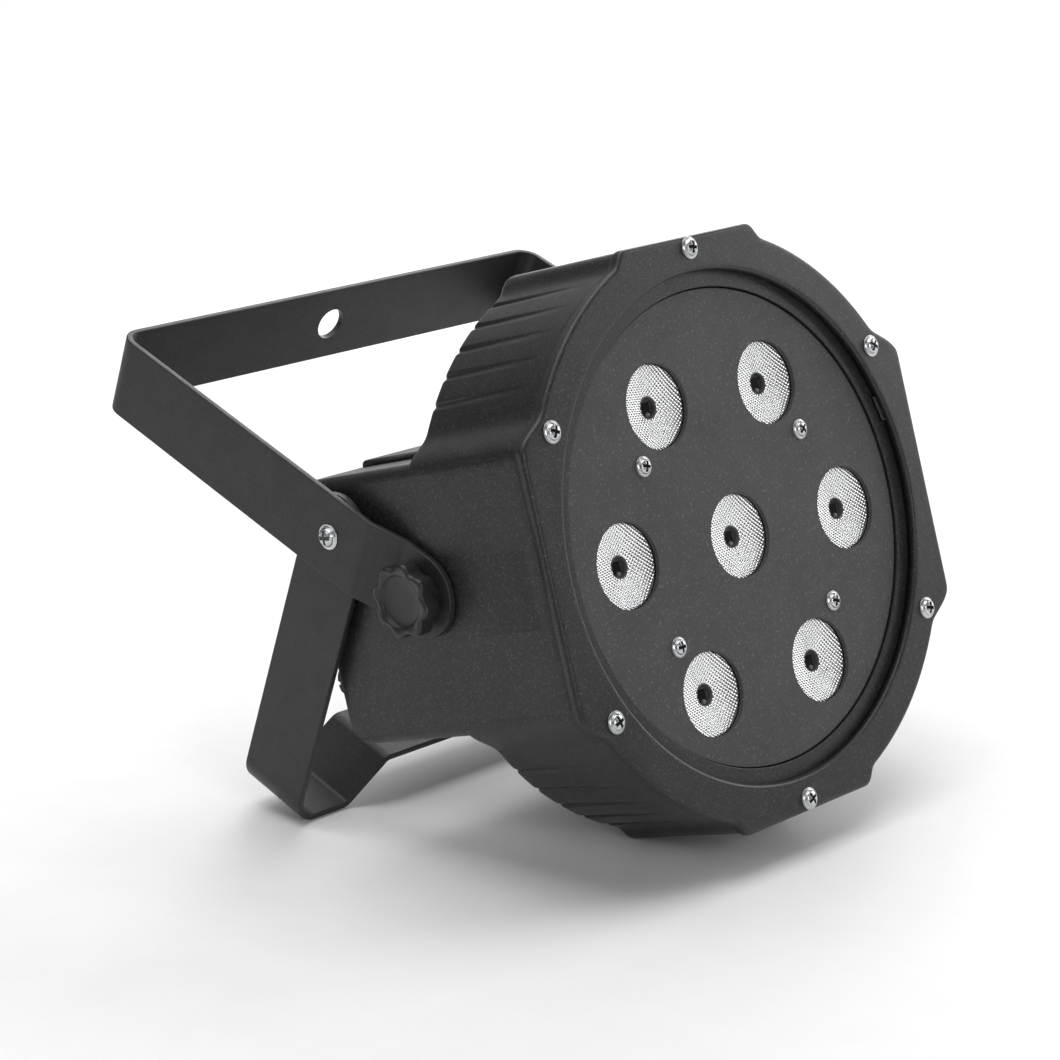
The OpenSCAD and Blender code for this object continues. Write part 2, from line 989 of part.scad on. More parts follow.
housing();
rear_panel();
rear_panel_screws();
front_bezel();
bezel_screws();
lens_plate();
plate_screws();
plate_standoffs();
lens_1();
lens_2();
lens_3();
lens_4();
lens_5();
lens_6();
lens_7();
lens_tray();
led_board();
led_emitters();
heatsink();
heatsink_screws();
fan_frame();
fan_rotor();
fan_screws();
psu_board();
psu_transformer();
psu_capacitors();
psu_choke();
control_board();
display_module();
display_window();
button_1();
button_2();
button_3();
button_4();
dmx_in_socket();
dmx_in_pins();
dmx_out_socket();
dmx_out_latch();
power_inlet();
inlet_pins();
fuse_holder();
fuse_cap();
fuse_link();
pivot_inserts();
pivot_washers();
main_yoke();
foot_bracket();
hinge_screws();
hinge_nuts();
knob_left();
knob_right();
knob_stud_left();
knob_stud_right();
knob_washers();
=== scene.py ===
import json
import math

import bpy
import numpy as np
from mathutils import Matrix, Vector


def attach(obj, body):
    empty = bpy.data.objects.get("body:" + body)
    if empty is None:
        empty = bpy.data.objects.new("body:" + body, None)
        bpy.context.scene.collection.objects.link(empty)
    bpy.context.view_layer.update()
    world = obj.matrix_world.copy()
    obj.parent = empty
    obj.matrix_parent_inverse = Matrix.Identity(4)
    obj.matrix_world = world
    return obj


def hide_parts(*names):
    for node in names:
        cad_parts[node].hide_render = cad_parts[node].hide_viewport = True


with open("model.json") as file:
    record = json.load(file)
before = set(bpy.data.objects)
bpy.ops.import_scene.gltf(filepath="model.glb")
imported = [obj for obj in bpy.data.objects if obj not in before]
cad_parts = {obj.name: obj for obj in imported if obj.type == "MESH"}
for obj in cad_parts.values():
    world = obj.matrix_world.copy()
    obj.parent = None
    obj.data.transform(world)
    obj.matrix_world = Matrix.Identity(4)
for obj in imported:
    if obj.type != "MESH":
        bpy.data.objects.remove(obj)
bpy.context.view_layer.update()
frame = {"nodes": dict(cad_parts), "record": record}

NODES = frame["nodes"]
JOINTS = {j["name"]: j for j in frame["record"]["behaviour"]["joints"]}
MM = 0.001

# ---------- the three working frames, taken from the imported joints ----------

PIVOT_MM = (0.0, 46.6, 2.7)
LENS_CENTRE = (-0.3, -2.7)
LENS_TURN = math.radians(-1.8)
LENS_CIRCLE = 48.4
REACH = 136.6
FOOT_HALF = 87.6


def frames():
    """Head, yoke and floor bracket frames, each from millimetres to the row frame."""
    back = Vector(JOINTS["fan_spin"]["axis"])
    tilt = math.atan2(-back.z, back.y)
    pivot = Vector(JOINTS["head_tilt"]["pos_m"])
    hinge = Vector(JOINTS["floor_leg_fold"]["pos_m"])
    arm = hinge - pivot
    turn = Matrix.Rotation(-tilt, 4, "X")
    small = Matrix.Diagonal((MM, MM, MM, 1))
    head = Matrix.Translation(pivot - turn @ (Vector(PIVOT_MM) * MM)) @ turn @ small
    lift = Matrix.Rotation(math.atan2(arm.z, arm.y), 4, "X")
    yoke = Matrix.Translation(pivot) @ lift @ small
    foot = Matrix.Translation(hinge) @ lift @ Matrix.Rotation(-math.pi / 2, 4, "X") @ small
    return head, yoke, foot


HEAD, YOKE, FOOT = frames()

# ---------- materials ----------


def material(name, base, rough, metal=0.0, grain=1500.0, depth=0.00003, mottle=0.12, speck=0.0,
             scuff=0.0, spec=0.5, coat=0.0, aniso=(1.0, 1.0, 1.0)):
    """A finish with mottled colour, uneven gloss, fine grain, and if asked specks and scuffs."""
    m = bpy.data.materials.new(name)
    m.use_nodes = True
    nt = m.node_tree
    new, link = nt.nodes.new, nt.links.new
    bsdf = nt.nodes["Principled BSDF"]
    bsdf.inputs["Metallic"].default_value = metal
    bsdf.inputs["Specular IOR Level"].default_value = spec
    bsdf.inputs["Coat Weight"].default_value = coat
    coord = new("ShaderNodeTexCoord")
    mapping = new("ShaderNodeMapping")
    mapping.inputs["Scale"].default_value = aniso
    link(coord.outputs["Object"], mapping.inputs["Vector"])

    def noise(scale, detail=3.0):
        n = new("ShaderNodeTexNoise")
        n.inputs["Scale"].default_value = scale
        n.inputs["Detail"].default_value = detail
        link(mapping.outputs["Vector"], n.inputs["Vector"])
        return n.outputs["Fac"]

    def ramp(source, stops):
        r = new("ShaderNodeValToRGB")
        r.color_ramp.elements[0].position, r.color_ramp.elements[1].position = stops[0][0], stops[-1][0]
        r.color_ramp.elements[0].color = (*stops[0][1], 1)
        r.color_ramp.elements[1].color = (*stops[-1][1], 1)
        for p, c in stops[1:-1]:
            r.color_ramp.elements.new(p).color = (*c, 1)
        link(source, r.inputs["Fac"])
        return r.outputs["Color"]

    low = tuple(c * (1 - mottle) for c in base)
    high = tuple(min(1.0, c * (1 + mottle)) for c in base)
    colour = ramp(noise(60.0, 5.0), [(0.3, low), (0.7, high)])
    if speck:
        dots = ramp(noise(grain * 0.8, 1.0), [(0.58, (0, 0, 0)), (0.74, (speck,) * 3)])
        add = new("ShaderNodeMix")
        add.data_type, add.blend_type = "RGBA", "ADD"
        add.inputs["Factor"].default_value = 1.0
        link(colour, add.inputs[6])
        link(dots, add.inputs[7])
        colour = add.outputs[2]
    if scuff:
        streak = new("ShaderNodeTexNoise")
        stretch = new("ShaderNodeMapping")
        stretch.inputs["Scale"].default_value = (14, 260, 90)
        stretch.inputs["Rotation"].default_value = (0.5, 0.35, 0.9)
        link(coord.outputs["Object"], stretch.inputs["Vector"])
        link(stretch.outputs["Vector"], streak.inputs["Vector"])
        streak.inputs["Scale"].default_value = 3.0
        marks = ramp(streak.outputs["Fac"], [(0.68, (0, 0, 0)), (0.8, (scuff,) * 3)])
        add = new("ShaderNodeMix")
        add.data_type, add.blend_type = "RGBA", "ADD"
        add.inputs["Factor"].default_value = 1.0
        link(colour, add.inputs[6])
        link(marks, add.inputs[7])
        colour = add.outputs[2]
    link(colour, bsdf.inputs["Base Color"])
    gloss = new("ShaderNodeMapRange")
    gloss.inputs["To Min"].default_value = rough * 0.82
    gloss.inputs["To Max"].default_value = min(1.0, rough * 1.18)
    link(noise(220.0, 4.0), gloss.inputs["Value"])
    link(gloss.outputs["Result"], bsdf.inputs["Roughness"])
    bump = new("ShaderNodeBump")
    bump.inputs["Strength"].default_value = 0.6
    bump.inputs["Distance"].default_value = depth
    link(noise(grain, 2.0), bump.inputs["Height"])
    link(bump.outputs["Normal"], bsdf.inputs["Normal"])
    return m


MATS = {
    "shell_plastic": material("shell_plastic", (0.014, 0.014, 0.0145), 0.40, grain=2300, depth=0.00008,
                              mottle=0.22, speck=0.05, spec=0.42),
    "black_steel": material("black_steel", (0.02, 0.02, 0.0205), 0.47, grain=1700, depth=0.00007, mottle=0.12,
                            scuff=0.012, speck=0.015, spec=0.42),
    "lens_plate_paint": material("lens_plate_paint", (0.045, 0.045, 0.046), 0.62, grain=1700, depth=0.0001,
                                 mottle=0.1, speck=0.05, spec=0.42),
    "zinc_steel": material("zinc_steel", (0.56, 0.57, 0.58), 0.3, 1.0, grain=3000, depth=0.00001,
                           mottle=0.15),
    "brass": material("brass", (0.62, 0.44, 0.18), 0.3, 1.0, grain=2500, depth=0.00001),
    "lens_acrylic": material("lens_acrylic", (0.84, 0.85, 0.86), 0.14, 0.95, grain=3500, depth=0.000012,
                             mottle=0.05),
    "knob_plastic": material("knob_plastic", (0.017, 0.017, 0.018), 0.38, grain=2400, depth=0.00003,
                             mottle=0.15, speck=0.02, spec=0.42),
    "board_white": material("board_white", (0.75, 0.76, 0.76), 0.4, grain=1800),
    "led_phosphor": material("led_phosphor", (0.85, 0.75, 0.35), 0.25, grain=3000),
    "sink_aluminium": material("sink_aluminium", (0.55, 0.56, 0.58), 0.35, 1.0, grain=900, aniso=(1, 0.1, 1)),
    "board_green": material("board_green", (0.02, 0.13, 0.05), 0.35, grain=1400),
    "winding": material("winding", (0.5, 0.32, 0.06), 0.4, grain=1200),
    "capacitor_sleeve": material("capacitor_sleeve", (0.02, 0.03, 0.09), 0.3, grain=1500),
    "display_black": material("display_black", (0.012, 0.012, 0.013), 0.2, grain=2000),
    "display_red": material("display_red", (0.09, 0.006, 0.006), 0.1, grain=1500, depth=0.000005, coat=0.15),
    "button_grey": material("button_grey", (0.05, 0.05, 0.052), 0.45, grain=2200),
    "washer_fibre": material("washer_fibre", (0.03, 0.03, 0.03), 0.75, grain=1600),
}
PIT = material("lens_pit", (0.11, 0.11, 0.115), 0.3, grain=2500)
# Near-black material for the valleys between the lens beads: painted shade, standing in for the shade in the
# gaps of the bead texture.
VALLEY_SHADE = material("lens_valley", (0.03, 0.03, 0.032), 0.25, grain=3000, depth=0.000006)
# Black for the LED chips, and painted shade where the same material fills the screws' cross recesses.
CHIP_AND_SHADE_FILL = material("lens_chip", (0.006, 0.006, 0.007), 0.12, grain=2500, depth=0.000004)

# ---------- mesh helpers ----------


def piece(name, verts, faces, world, mat, body, slot, replaced=(), smooth=True, weighted=True):
    """A new mesh object from points in the working frame, riding on a body."""
    me = bpy.data.meshes.new(name)
    me.from_pydata([tuple(v) for v in verts], [], [tuple(int(i) for i in f) for f in faces])
    me.transform(world)
    if world.determinant() < 0:
        me.flip_normals()
    me.validate()
    me.materials.append(mat)
    ob = bpy.data.objects.new(name, me)
    bpy.context.scene.collection.objects.link(ob)
    if smooth:
        for p in me.polygons:
            p.use_smooth = True
    if weighted:
        w = ob.modifiers.new("weighted", "WEIGHTED_NORMAL")
        w.weight = 60
        w.keep_sharp = True
    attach(ob, body)
    if replaced:
        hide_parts(*replaced)
    return ob


def grid(rows, wrap_rows=False, base=0):
    """Points and quads of a stack of closed loops with the same count."""
    rows = [np.asarray(r, float) for r in rows]
    n = len(rows[0])
    verts = np.vstack(rows)
    faces = []
    last = len(rows) if wrap_rows else len(rows) - 1
    for k in range(last):
        a, b = k * n, ((k + 1) % len(rows)) * n
        for i in range(n):
            j = (i + 1) % n
            faces.append((base + a + i, base + a + j, base + b + j, base + b + i))
    return verts, faces


def cap(faces, start, n, flip=False):
    loop = [start + i for i in range(n)]
    faces.append(tuple(reversed(loop)) if flip else tuple(loop))


class Build:
    """Collects several closed shells into one mesh."""

    def __init__(self):
        self.v, self.f = [], []

    def add(self, verts, faces, world=None):
        base = sum(len(v) for v in self.v)
        verts = np.asarray(verts, float)
        if world is not None:
            m = np.array(world)
            verts = verts @ m[:3, :3].T + m[:3, 3]
        self.v.append(verts)
        self.f += [tuple(base + i for i in f) for f in faces]

    def make(self, name, world, mat, body, slot, replaced=(), **kw):
        return piece(name, np.vstack(self.v), self.f, world, mat, body, slot, replaced, **kw)


def lathe(profile, n=48, caps=True):
    """Turns (radius, depth) pairs about the depth axis, loops in the XZ plane."""
    t = np.linspace(0, 2 * math.pi, n, endpoint=False)
    rows = [np.stack([r * np.cos(t), np.full(n, y), r * np.sin(t)], 1) for r, y in profile]
    v, f = grid(rows)
    if caps:
        cap(f, 0, n, True)
        cap(f, (len(rows) - 1) * n, n)
    return v, f


def screw_head(radius, height, turn, flange=0.6, drop=0.0):
    """A washer-head screw with a cross recess as one closed shell, seat at depth 0, head toward -Y."""
    n, rings = 96, 32
    t = np.linspace(0, 2 * math.pi, n, endpoint=False)
    dome_r = radius * 0.74
    rows = [np.stack([radius * 0.6 * np.cos(t), np.full(n, 1.2), radius * 0.6 * np.sin(t)], 1)]
    for r in (radius * 0.97, radius):
        rows.append(np.stack([r * np.cos(t), np.full(n, 0.0 if r < radius else -0.15), r * np.sin(t)], 1))
    for k in range(rings):
        r = radius * (1 - k / (rings - 0.6)) * 0.985
        x, z = r * np.cos(t - turn), r * np.sin(t - turn)
        dome = math.sqrt(max(0, 1 - (r / dome_r) ** 2)) ** 0.8
        up = flange if r > dome_r else flange + (height - flange) * dome
        up = flange * 0.55 if r > dome_r * 1.12 else up
        arm, half = radius * 0.52, radius * 0.13
        soft = radius * 0.05
        a = np.clip((half - np.abs(z)) / soft + 0.5, 0, 1) * np.clip((arm - np.abs(x)) / soft + 0.5, 0, 1)
        b = np.clip((half - np.abs(x)) / soft + 0.5, 0, 1) * np.clip((arm - np.abs(z)) / soft + 0.5, 0, 1)
        y = -(up - np.maximum(a, b) * height * 0.8 - drop)
        rows.append(np.stack([r * np.cos(t), y, r * np.sin(t)], 1))
    v, f = grid(rows)
    cap(f, 0, n, True)
    cap(f, (len(rows) - 1) * n, n)
    return v, f


def cross_shade_slab(radius, height, turn):
    """A painted shade slab for a screw's cross recess: a closed black plus-shaped slab just under the dome,
    standing in for the shade in the recess.
    """
    arm, half, top, low = radius * 0.5, radius * 0.14, 0.42 - height, 0.95 - height
    plus = [(arm, -half), (arm, half), (half, half), (half, arm), (-half, arm), (-half, half),
            (-arm, half), (-arm, -half), (-half, -half), (-half, -arm), (half, -arm), (half, -half)]
    c, s = math.cos(turn), math.sin(turn)
    rows = [np.array([(x * c - z * s, y, x * s + z * c) for x, z in plus]) for y in (low, top)]
    v, f = grid(rows)
    cap(f, 0, 12, True)
    cap(f, 12, 12)
    return v, f


def at(x, y, z, turn=None):
    m = Matrix.Translation((x, y, z))
    return m @ turn if turn is not None else m


def lens_spot(i, r=LENS_CIRCLE):
    a = math.radians(60 * i)
    x, z = (0.0, 0.0) if i == 0 else (r * math.cos(a), r * math.sin(a))
    return spun(x, z)


def spun(x, z):
    """A point of the lens pattern in head coordinates."""
    c, s = math.cos(LENS_TURN), math.sin(LENS_TURN)
    return LENS_CENTRE[0] + c * x - s * z, LENS_CENTRE[1] + s * x + c * z


# ---------- outline of the drum ----------

DRUM_R, SIDE_FLAT, TOP_FLAT = 86.5, 83.8, 85.4


def outline_radius(theta, inset=0.0, blur=5):
    """Distance from the middle to the drum's outline in each direction, with softened corners."""
    x, z = np.abs(np.cos(theta)), np.abs(np.sin(theta))

    def ray(points):
        """distance to a convex polyline given from +X to +Z"""
        r = np.full(theta.shape, 1e9)
        for (x0, z0), (x1, z1) in zip(points[:-1], points[1:]):
            nx, nz = z1 - z0, x0 - x1
            k = nx * x0 + nz * z0
            r = np.minimum(r, k / np.maximum(nx * x + nz * z, 1e-9))
        return r

    round_part = np.minimum(DRUM_R,
                            np.minimum(SIDE_FLAT / np.maximum(x, 1e-9), TOP_FLAT / np.maximum(z, 1e-9)))
    side = ray([(83.8, 0), (83.8, 38.2), (80.8, 41.1), (73.5, 45.6), (0, 45.6)])
    top = ray([(31.4, 0), (31.4, 80.6), (28.6, 85.4), (0, 85.4)])
    r = np.maximum(round_part, np.maximum(side, top))
    for _ in range(blur):
        r = (np.roll(r, 1) + r * 2 + np.roll(r, -1)) / 4
    return r - inset


def loop(r, theta, y):
    y = np.broadcast_to(y, theta.shape)
    return np.stack([r * np.cos(theta), y, r * np.sin(theta)], 1)


# ---------- housing ----------


def groove_depth(theta, y):
    """Shallow cooling grooves, steep on the side toward the top and bottom pads, deepest at the rear."""
    folded = np.degrees(np.arctan2(np.abs(np.sin(theta)), np.abs(np.cos(theta))))
    depth = np.zeros(theta.shape)
    for i in range(5):
        d = (folded - (39 + 6.5 * i)) * math.radians(1) * DRUM_R
        across = np.where(d > 0, np.clip(1 - d / 0.75, 0, 1), np.clip(1 + d / 2.4, 0, 1))
        depth = np.maximum(depth, across * across * (3 - 2 * across))
    return depth * 0.85 * np.clip((y - 5.0) / 38.0, 0, 1)


def make_drum(b):
    theta = np.linspace(0, 2 * math.pi, 1440, endpoint=False)
    out = outline_radius(theta, 0.4, blur=40)
    rear, round_r = 45.3, 3.0
    rows = [loop(out - 0.5, theta, -0.9), loop(out, theta, -0.5)]
    for y in np.linspace(2, rear - round_r, 15):
        rows.append(loop(out - groove_depth(theta, y), theta, y))
    for a in np.linspace(0, math.pi / 2, 7)[1:]:
        y = rear - round_r * (1 - math.sin(a))
        rows.append(loop(out - groove_depth(theta, y) * math.cos(a) - round_r * (1 - math.cos(a)), theta, y))
    ring = np.full(theta.shape, 1.0)
    inner = np.minimum(out - round_r - 3, 74.0)
    rows += [loop(inner, theta, rear), loop(ring * 38.4, theta, rear), loop(ring * 38.4, theta, 42.9),
             loop(ring * 70.2, theta, 42.0), loop(out - 4.2, theta, 40.0), loop(out - 4.2, theta, 1.6),
             loop(ring * 70.2, theta, 1.6), loop(ring * 70.2, theta, -0.6), loop(ring * 70.5, theta, -0.9)]
    v, f = grid(rows, wrap_rows=True)
    b.add(v, f)


def rect_loop(w, h, r, y, n=10):
    pts = []
    for cx, cz, a0 in ((w - r, h - r, 0), (-w + r, h - r, 90), (-w + r, -h + r, 180), (w - r, -h + r, 270)):
        for k in range(n):
            a = math.radians(a0 + 90 * k / (n - 1))
            pts.append((cx + r * math.cos(a), y, cz + r * math.sin(a)))
    return np.array(pts)


def make_box(b):
    w, h, r = 83.42, 39.6, 4.0
    rows = [rect_loop(w, h, r, 4.0), rect_loop(w, h, r, 48.0), rect_loop(w, h, r, 86.0)]
    for a in np.radians((0, 15, 30, 45, 57)):
        rows.append(rect_loop(w - 0.5 * (1 - math.cos(a)), h - 4 * (1 - math.cos(a)), r,
                              87.8 + 4 * math.sin(a)))
    rows += [rect_loop(w - 0.9, 37.6, 3.0, 91.55), rect_loop(w - 2.2, 37.25, 2.0, 91.6),
             rect_loop(w - 2.4, 37.2, 1.6, 91.2),
             rect_loop(w - 2.4, 37.2, 1.6, 60.0), rect_loop(w - 2.4, 37.2, 1.6, 33.0)]
    v, f = grid(rows, wrap_rows=True)
    b.add(v, f)


def raised_block():
    """The raised middle of the top, with rounded long edges."""
    w, y0, y1, top, r = 60.0, 41.3, 88.0, 41.5, 1.4
    rows = []
    quarter = np.radians(range(0, 91, 15))
    section = [(w, 38.4)] + [(w - r + r * math.cos(a), top - r + r * math.sin(a)) for a in quarter]
    section += [(-x, z) for x, z in reversed(section)]
    for y, drop, pull in ((y0, 0, 0), (y1 - 1.4, 0, 0), (y1 - 0.7, 0.15, 0.15), (y1 - 0.2, 0.6, 0.5),
                          (y1, 1.3, 1.0)):
        rows.append(np.array([(x * (1 - pull / w), y, z - (drop if z > 39 else 0)) for x, z in section]))
    v, f = grid(rows)
    n = len(section)
    cap(f, 0, n, True)
    cap(f, (len(rows) - 1) * n, n)
    return v, f


def slot_cutters():
    """Air slots through the top and the bottom of the rear box, with round ends."""
    b = Build()
    end = 2.0
    t = np.linspace(0, math.pi, 9)
    for sz in (-1, 1):
        for i in range(-3, 4):
            x = i * 12.0
            pts = [(x + end * math.cos(a), 82 - end + end * math.sin(a)) for a in t]
            pts += [(x - end * math.cos(a), 56 + end - end * math.sin(a)) for a in t]
            lo, hi = (36.0, 44.0) if sz > 0 else (-44.0, -36.0)
            v, f = grid([np.array([(px, py, z) for px, py in pts]) for z in (lo, hi)])
            cap(f, 0, len(pts), True)
            cap(f, len(pts), len(pts))
            b.add(v, f)
    return b


def make_housing():
    b = Build()
    make_box(b)
    body = b.make("rear_box", HEAD, MATS["shell_plastic"], "head", "shell_plastic", ("housing",))
    v, f = raised_block()
    block = piece("top_block", v, f, HEAD, MATS["shell_plastic"], "head", "shell_plastic")
    b = Build()
    make_drum(b)
    b.make("drum_shell", HEAD, MATS["shell_plastic"], "head", "shell_plastic", ("housing",))
    tool = slot_cutters()
    me = bpy.data.meshes.new("cutter")
    me.from_pydata([tuple(q) for q in np.vstack(tool.v)], [], tool.f)
    me.transform(HEAD)
    cutter = bpy.data.objects.new("cutter", me)
    bpy.context.scene.collection.objects.link(cutter)
    for ob in (body, block):
        cut(ob, cutter)
    bpy.data.objects.remove(cutter)


def make_plate():
    b = Build()
    v, f = lathe([(69.9, 0.12), (69.9, 1.5)], 256)
    b.add(v, f)
    plate = b.make("plate_disc", HEAD, MATS["lens_plate_paint"], "head", "lens_plate_paint", ("lens_plate",),
                   smooth=False, weighted=False)
    me = plate.data
    # the front face of the disc is brought flush with the head's own zero plane
    plate.data.transform(HEAD.inverted())
    for vert in me.vertices:
        if vert.co.y < 0.5:
            vert.co.y = 0.0
    plate.data.transform(HEAD)
    for i in range(7):
        cx, cz = lens_spot(i)
        drill(plate, HEAD, (cx, 0.7, cz), (0, 1, 0), 12.5, 6, 96)
    bevel = plate.modifiers.new("bevel", "BEVEL")
    bevel.width, bevel.segments, bevel.limit_method, bevel.angle_limit = 0.00015, 2, "ANGLE", math.radians(40)


# ---------- bezel ----------


def make_bezel():
    theta = np.linspace(0, 2 * math.pi, 720, endpoint=False)
    out = outline_radius(theta)
    front, rear, lip = -4.0, -1.2, 75.0
    f1, f2 = 1.3, 1.1
    rows = [loop(out, theta, rear)]
    for a in np.linspace(0, math.pi / 2, 6):
        rows.append(loop(out - f1 * (1 - math.cos(a)), theta, front + f1 * (1 - math.sin(a))))
    inner = lip + f2
    edge = out - f1
    rows.append(loop(edge - 1.2, theta, front))
    rows.append(loop(np.full(theta.shape, inner + 1.0), theta, front))
    for a in np.linspace(0, math.pi / 2, 6):
        rows.append(loop(np.full(theta.shape, inner - f2 * math.sin(a)), theta,
                         front + f2 * (1 - math.cos(a))))
    rows.append(loop(np.full(theta.shape, lip), theta, rear))
    v, f = grid(rows, wrap_rows=True)
    b = Build()
    b.add(v, f)
    # moulded catch on the inner wall of the lip
    t = np.radians(17) + np.linspace(-0.055, 0.055, 13)
    ends = [(lip + 0.5, -2.2), (lip - 1.1, -2.2), (lip - 1.1, -1.3), (lip + 0.5, -1.3)]
    rows = [np.array([[r * math.cos(a), y, r * math.sin(a)] for r, y in ends]) for a in t]
    v, f = grid(rows)
    cap(f, 0, 4, True)
    cap(f, (len(rows) - 1) * 4, 4)
    b.add(v, f)
    return b.make("bezel_ring", HEAD, MATS["shell_plastic"], "head", "shell_plastic", ("front_bezel",))


# ---------- screws ----------


def make_screws():
    rng = np.random.default_rng(7)
    zinc = MATS["zinc_steel"]
    around = np.radians(range(30, 360, 60))
    corners = [spun(sx * 34.7, sz * 26.1) for sx in (-1, 1) for sz in (-1, 1)]
    sets = {
        "bezel_screws": [(81.9 * math.cos(a), -4.0, 81.9 * math.sin(a)) for a in around],
        "plate_screws": [(x, 0.0, z) for x, z in corners],
    }
    size = {"bezel_screws": (3.3, 1.95), "plate_screws": (3.0, 1.85)}
    for name, places in sets.items():
        # Each dark build gathers painted shade: black plus-shaped slabs that fill the screws' cross recesses.
        b, dark = Build(), Build()
        for p in places:
            turn = rng.uniform(0, 1.5)
            b.add(*screw_head(*size[name], turn), at(*p))
            dark.add(*cross_shade_slab(*size[name], turn), at(*p))
        b.make(name + "_turned", HEAD, zinc, "head", "zinc_steel", (name,))
        dark.make(name + "_shaded_cross", HEAD, CHIP_AND_SHADE_FILL, "head", "zinc_steel", smooth=False, weighted=False)
    back = Matrix.Rotation(math.pi, 4, "Z")
    rear = [(x, 91.8, sz * 32.8) for x in (-76.3, 76.3) for sz in (-1, 1)]
    rear += [(8, 91.8, sz * 33.2) for sz in (-1, 1)]
    fan = [(-14 + sx * 20, 91.8, sz * 20) for sx in (-1, 1) for sz in (-1, 1)]
    for name, places, r, h in (("rear_panel_screws", rear, 2.8, 1.65), ("fan_screws", fan, 2.9, 1.75)):
        # dark again gathers painted shade slabs for the cross recesses.
        b, dark = Build(), Build()
        for p in places:
            turn = rng.uniform(0, 1.5)
            b.add(*screw_head(r, h, turn), at(*p, back))
            dark.add(*cross_shade_slab(r, h, turn), at(*p, back))
        b.make(name + "_turned", HEAD, zinc, "head", "zinc_steel", (name,))
        dark.make(name + "_shaded_cross", HEAD, CHIP_AND_SHADE_FILL, "head", "zinc_steel", smooth=False, weighted=False)
    # dark gathers painted shade slabs for the hinge screws' cross recesses.
    b, dark = Build(), Build()
    for s in (-1, 1):
        turn = 0.5 if s < 0 else 1.1
        place = at(s * 89.9, 34.9, 0, Matrix.Rotation(s * math.pi / 2, 4, "Z"))
        b.add(*screw_head(3.8, 2.35, turn), place)
        dark.add(*cross_shade_slab(3.8, 2.35, turn), place)
    b.make("hinge_screws_turned", YOKE, zinc, "yoke", "zinc_steel", ("hinge_screws",))
    dark.make("hinge_screws_shaded_cross", YOKE, CHIP_AND_SHADE_FILL, "yoke", "zinc_steel", smooth=False, weighted=False)


# ---------- strip steel ----------


def rounded(points, radii, step=7):
    """A polyline with its corners rounded."""
    out = [np.array(points[0], float)]
    for p0, p1, p2, r in zip(points[:-2], points[1:-1], points[2:], radii):
        p0, p1, p2 = (np.array(p, float) for p in (p0, p1, p2))
        a, b = (p0 - p1) / np.linalg.norm(p0 - p1), (p2 - p1) / np.linalg.norm(p2 - p1)
        ang = math.acos(np.clip(a @ b, -1, 1))
        d = r / math.tan(ang / 2)
        centre = p1 + (a + b) / np.linalg.norm(a + b) * (r / math.sin(ang / 2))
        s, e = p1 + a * d - centre, p1 + b * d - centre
        total = math.pi - ang
        turn = math.copysign(1, s[0] * e[1] - s[1] * e[0])
        n = max(4, int(math.degrees(total) / step))
        for k in range(n + 1):
            w = turn * total * k / n
            c, q = math.cos(w), math.sin(w)
            out.append(centre + np.array([c * s[0] - q * s[1], q * s[0] + c * s[1]]))
    out.append(np.array(points[-1], float))
    return out


def strip(path, thick, width, edge=0.45):
    """Sweeps a strip with rounded edges and half-round ends along a path in X and reach."""
    half = width / 2
    p = [np.array(q, float) for q in path]
    d0 = (p[0] - p[1]) / np.linalg.norm(p[0] - p[1])
    d1 = (p[-1] - p[-2]) / np.linalg.norm(p[-1] - p[-2])
    turns = [math.radians(a) for a in (87.5, 82, 74, 64, 52, 40, 28, 14)]
    head = [(p[0] + d0 * half * math.sin(a), half * math.cos(a)) for a in turns]
    tail = [(p[-1] + d1 * half * math.sin(a), half * math.cos(a)) for a in reversed(turns)]
    rows_in = head + [(q, half) for q in p] + tail
    rows = []
    for i, (q, w) in enumerate(rows_in):
        a = rows_in[max(0, i - 1)][0]
        b = rows_in[min(len(rows_in) - 1, i + 1)][0]
        t = (b - a) / np.linalg.norm(b - a)
        n = np.array([-t[1], t[0]])
        e = min(edge, w * 0.6)
        section = []
        for cx, cy, a0 in ((thick / 2 - e, w - e, 0), (-thick / 2 + e, w - e, 90),
                           (-thick / 2 + e, -w + e, 180), (thick / 2 - e, -w + e, 270)):
            section += [(cx + e * math.cos(math.radians(a0 + k)),
                         cy + e * math.sin(math.radians(a0 + k))) for k in (0, 30, 60, 90)]
        rows.append(np.array([[q[0] + n[0] * u, q[1] + n[1] * u, z] for u, z in section]))
    v, f = grid(rows)
    cap(f, 0, 16, True)
    cap(f, (len(rows) - 1) * 16, 16)
    return v, f


def cut(ob, cutter):
    """Takes the cutter out of the object and applies it."""
    mod = ob.modifiers.new("cut", "BOOLEAN")
    mod.object, mod.operation, mod.solver = cutter, "DIFFERENCE", "EXACT"
    bpy.context.view_layer.update()
    ob.modifiers.move(len(ob.modifiers) - 1, 0)
    bpy.context.view_layer.objects.active = ob
    bpy.ops.object.modifier_apply(modifier="cut")


def drill(ob, world, origin, direction, r, length, n=48):
    """Cuts a round hole through an object."""
    t = np.linspace(0, 2 * math.pi, n, endpoint=False)
    d = Vector(direction).normalized()
    side = d.orthogonal().normalized()
    other = d.cross(side)
    rows = []
    for k in (-1, 1):
        c = Vector(origin) + d * (k * length / 2)
        rows.append(np.array([tuple(c + side * (r * math.cos(a)) + other * (r * math.sin(a))) for a in t]))
    v, f = grid(rows)
    cap(f, 0, n, True)
    cap(f, n, n)
    me = bpy.data.meshes.new("cutter")
    me.from_pydata([tuple(q) for q in v], [], f)
    me.transform(world)
    cutter = bpy.data.objects.new("cutter", me)
    bpy.context.scene.collection.objects.link(cutter)
    cut(ob, cutter)
    bpy.data.objects.remove(cutter)


def mirrored(points):
    return points + [(-x, y) for x, y in reversed(points)]


